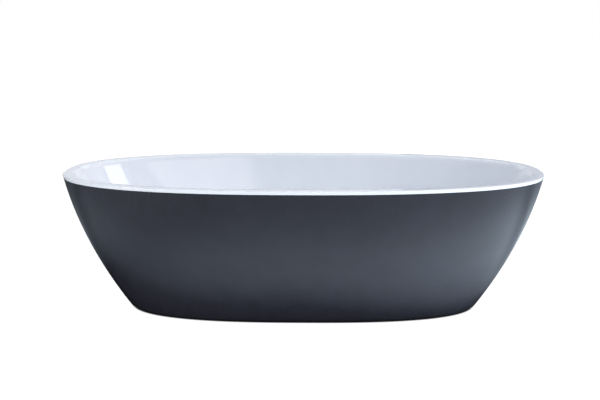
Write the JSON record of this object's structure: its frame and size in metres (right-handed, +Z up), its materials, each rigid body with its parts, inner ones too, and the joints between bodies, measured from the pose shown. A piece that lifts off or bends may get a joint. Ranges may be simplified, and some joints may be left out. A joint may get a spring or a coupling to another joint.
{
  "type": "freestanding bathtub",
  "caption": "Oval double-skin freestanding bathtub: white basin with a thin flat rim, bulging dark skirt tapering to the floor, levelling feet, push-open plug, trap and overflow.",
  "frame": {"origin": "on the floor, under the centre of the tub, with the levelling feet at their rest height", "axes": "+X along the tub's length, +Y across it from the front to the rear, +Z up"},
  "size_m": [1.8, 0.85, 0.516],
  "materials": {
    "white_acrylic": "gloss white sanitary acrylic",
    "anthracite_acrylic": "satin anthracite acrylic",
    "encapsulated_board": "chipboard under clear glass-fibre resin",
    "zinc_steel": "bright zinc plate",
    "chrome": "polished chrome",
    "black_rubber": "matte black rubber",
    "white_plastic": "moulded white polypropylene",
    "grey_plastic": "grey flexible plastic"
  },
  "bodies": {
    "tub": {"basin": "white_acrylic", "skirt": "anthracite_acrylic", "base_board": "encapsulated_board", "waste_flange": "chrome", "waste_upper_seal": "black_rubber", "waste_lower_seal": "black_rubber", "trap_body": "white_plastic", "trap_dip_tube": "grey_plastic", "outlet_nut": "white_plastic", "outlet_seal": "black_rubber", "overflow_cover": "chrome", "overflow_screw": "chrome", "overflow_seal": "black_rubber", "overflow_elbow": "white_plastic", "hose_clip_upper": "zinc_steel", "overflow_hose": "grey_plastic", "hose_clip_lower": "zinc_steel", "crossbar_left": "zinc_steel", "board_screw_left_front": "zinc_steel", "weld_nut_left_front": "zinc_steel", "lock_nut_left_front": "zinc_steel", "board_screw_left_rear": "zinc_steel", "weld_nut_left_rear": "zinc_steel", "lock_nut_left_rear": "zinc_steel", "crossbar_middle": "zinc_steel", "board_screw_middle_front": "zinc_steel", "weld_nut_middle_front": "zinc_steel", "lock_nut_middle_front": "zinc_steel", "board_screw_middle_rear": "zinc_steel", "weld_nut_middle_rear": "zinc_steel", "lock_nut_middle_rear": "zinc_steel", "crossbar_right": "zinc_steel", "board_screw_right_front": "zinc_steel", "weld_nut_right_front": "zinc_steel", "lock_nut_right_front": "zinc_steel", "board_screw_right_rear": "zinc_steel", "weld_nut_right_rear": "zinc_steel", "lock_nut_right_rear": "zinc_steel"},
    "plug": {"plug_cap": "chrome", "plug_seal": "black_rubber", "plug_stem": "chrome"},
    "pad_left_front": {"foot_pad_left_front": "black_rubber"},
    "stud_left_front": {"foot_stud_left_front": "zinc_steel"},
    "pad_left_rear": {"foot_pad_left_rear": "black_rubber"},
    "stud_left_rear": {"foot_stud_left_rear": "zinc_steel"},
    "pad_middle_front": {"foot_pad_middle_front": "black_rubber"},
    "stud_middle_front": {"foot_stud_middle_front": "zinc_steel"},
    "pad_middle_rear": {"foot_pad_middle_rear": "black_rubber"},
    "stud_middle_rear": {"foot_stud_middle_rear": "zinc_steel"},
    "pad_right_front": {"foot_pad_right_front": "black_rubber"},
    "stud_right_front": {"foot_stud_right_front": "zinc_steel"},
    "pad_right_rear": {"foot_pad_right_rear": "black_rubber"},
    "stud_right_rear": {"foot_stud_right_rear": "zinc_steel"}
  },
  "joints": [
    {"name": "plug_lift", "type": "slide", "parent": "tub", "child": "plug", "axis": [0, 0, 1], "range_m": [0, 0.009]},
    {"name": "foot_lift_left_front", "type": "slide", "parent": "tub", "child": "pad_left_front", "axis": [0, 0, -1], "range_m": [-0.003, 0.015]},
    {"name": "foot_turn_left_front", "type": "hinge", "parent": "pad_left_front", "child": "stud_left_front", "pos_m": [-0.43, -0.165, 0], "axis": [0, 0, 1], "range_deg": [-3086.2, 617.6]},
    {"name": "foot_lift_left_rear", "type": "slide", "parent": "tub", "child": "pad_left_rear", "axis": [0, 0, -1], "range_m": [-0.003, 0.015]},
    {"name": "foot_turn_left_rear", "type": "hinge", "parent": "pad_left_rear", "child": "stud_left_rear", "pos_m": [-0.43, 0.165, 0], "axis": [0, 0, 1], "range_deg": [-3086.2, 617.6]},
    {"name": "foot_lift_middle_front", "type": "slide", "parent": "tub", "child": "pad_middle_front", "axis": [0, 0, -1], "range_m": [-0.003, 0.015]},
    {"name": "foot_turn_middle_front", "type": "hinge", "parent": "pad_middle_front", "child": "stud_middle_front", "pos_m": [0.13, -0.165, 0], "axis": [0, 0, 1], "range_deg": [-3086.2, 617.6]},
    {"name": "foot_lift_middle_rear", "type": "slide", "parent": "tub", "child": "pad_middle_rear", "axis": [0, 0, -1], "range_m": [-0.003, 0.015]},
    {"name": "foot_turn_middle_rear", "type": "hinge", "parent": "pad_middle_rear", "child": "stud_middle_rear", "pos_m": [0.13, 0.165, 0], "axis": [0, 0, 1], "range_deg": [-3086.2, 617.6]},
    {"name": "foot_lift_right_front", "type": "slide", "parent": "tub", "child": "pad_right_front", "axis": [0, 0, -1], "range_m": [-0.003, 0.015]},
    {"name": "foot_turn_right_front", "type": "hinge", "parent": "pad_right_front", "child": "stud_right_front", "pos_m": [0.43, -0.165, 0], "axis": [0, 0, 1], "range_deg": [-3086.2, 617.6]},
    {"name": "foot_lift_right_rear", "type": "slide", "parent": "tub", "child": "pad_right_rear", "axis": [0, 0, -1], "range_m": [-0.003, 0.015]},
    {"name": "foot_turn_right_rear", "type": "hinge", "parent": "pad_right_rear", "child": "stud_right_rear", "pos_m": [0.43, 0.165, 0], "axis": [0, 0, 1], "range_deg": [-3086.2, 617.6]}
  ],
  "couplings": [
    {"joint": "foot_turn_left_front", "follows": "foot_lift_left_front", "rad_per_m": -3590.4},
    {"joint": "foot_turn_left_rear", "follows": "foot_lift_left_rear", "rad_per_m": -3590.4},
    {"joint": "foot_turn_middle_front", "follows": "foot_lift_middle_front", "rad_per_m": -3590.4},
    {"joint": "foot_turn_middle_rear", "follows": "foot_lift_middle_rear", "rad_per_m": -3590.4},
    {"joint": "foot_turn_right_front", "follows": "foot_lift_right_front", "rad_per_m": -3590.4},
    {"joint": "foot_turn_right_rear", "follows": "foot_lift_right_rear", "rad_per_m": -3590.4}
  ]
}
